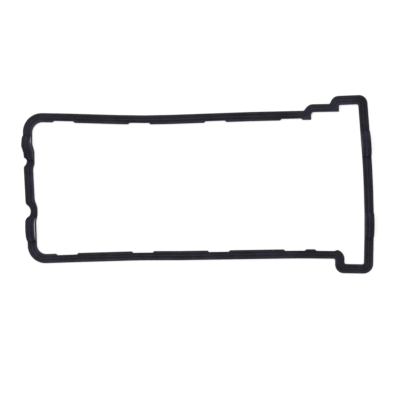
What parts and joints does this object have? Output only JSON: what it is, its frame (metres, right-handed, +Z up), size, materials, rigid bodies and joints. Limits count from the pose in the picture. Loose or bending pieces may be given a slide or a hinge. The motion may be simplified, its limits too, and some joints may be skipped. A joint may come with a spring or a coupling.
{
  "type": "valve cover gasket",
  "caption": "Moulded black rubber valve cover gasket: a flat closed ring with a raised sealing bead, lip gaps beside the bores, a stepped wide end and half-moon plugs on both short sides.",
  "frame": {"origin": "on the plane of the flat seat, under the middle of the box around the gasket", "axes": "+X along the long side towards the wide stepped end, +Y across the gasket towards the side with the square blocks, +Z up from the flat seat through the sealing bead"},
  "size_m": [0.4006, 0.203, 0.0194],
  "materials": {
    "rubber": "black moulded rubber, satin, with a faint lengthwise grain"
  },
  "bodies": {
    "root": {"gasket": "rubber"}
  },
  "joints": []
}
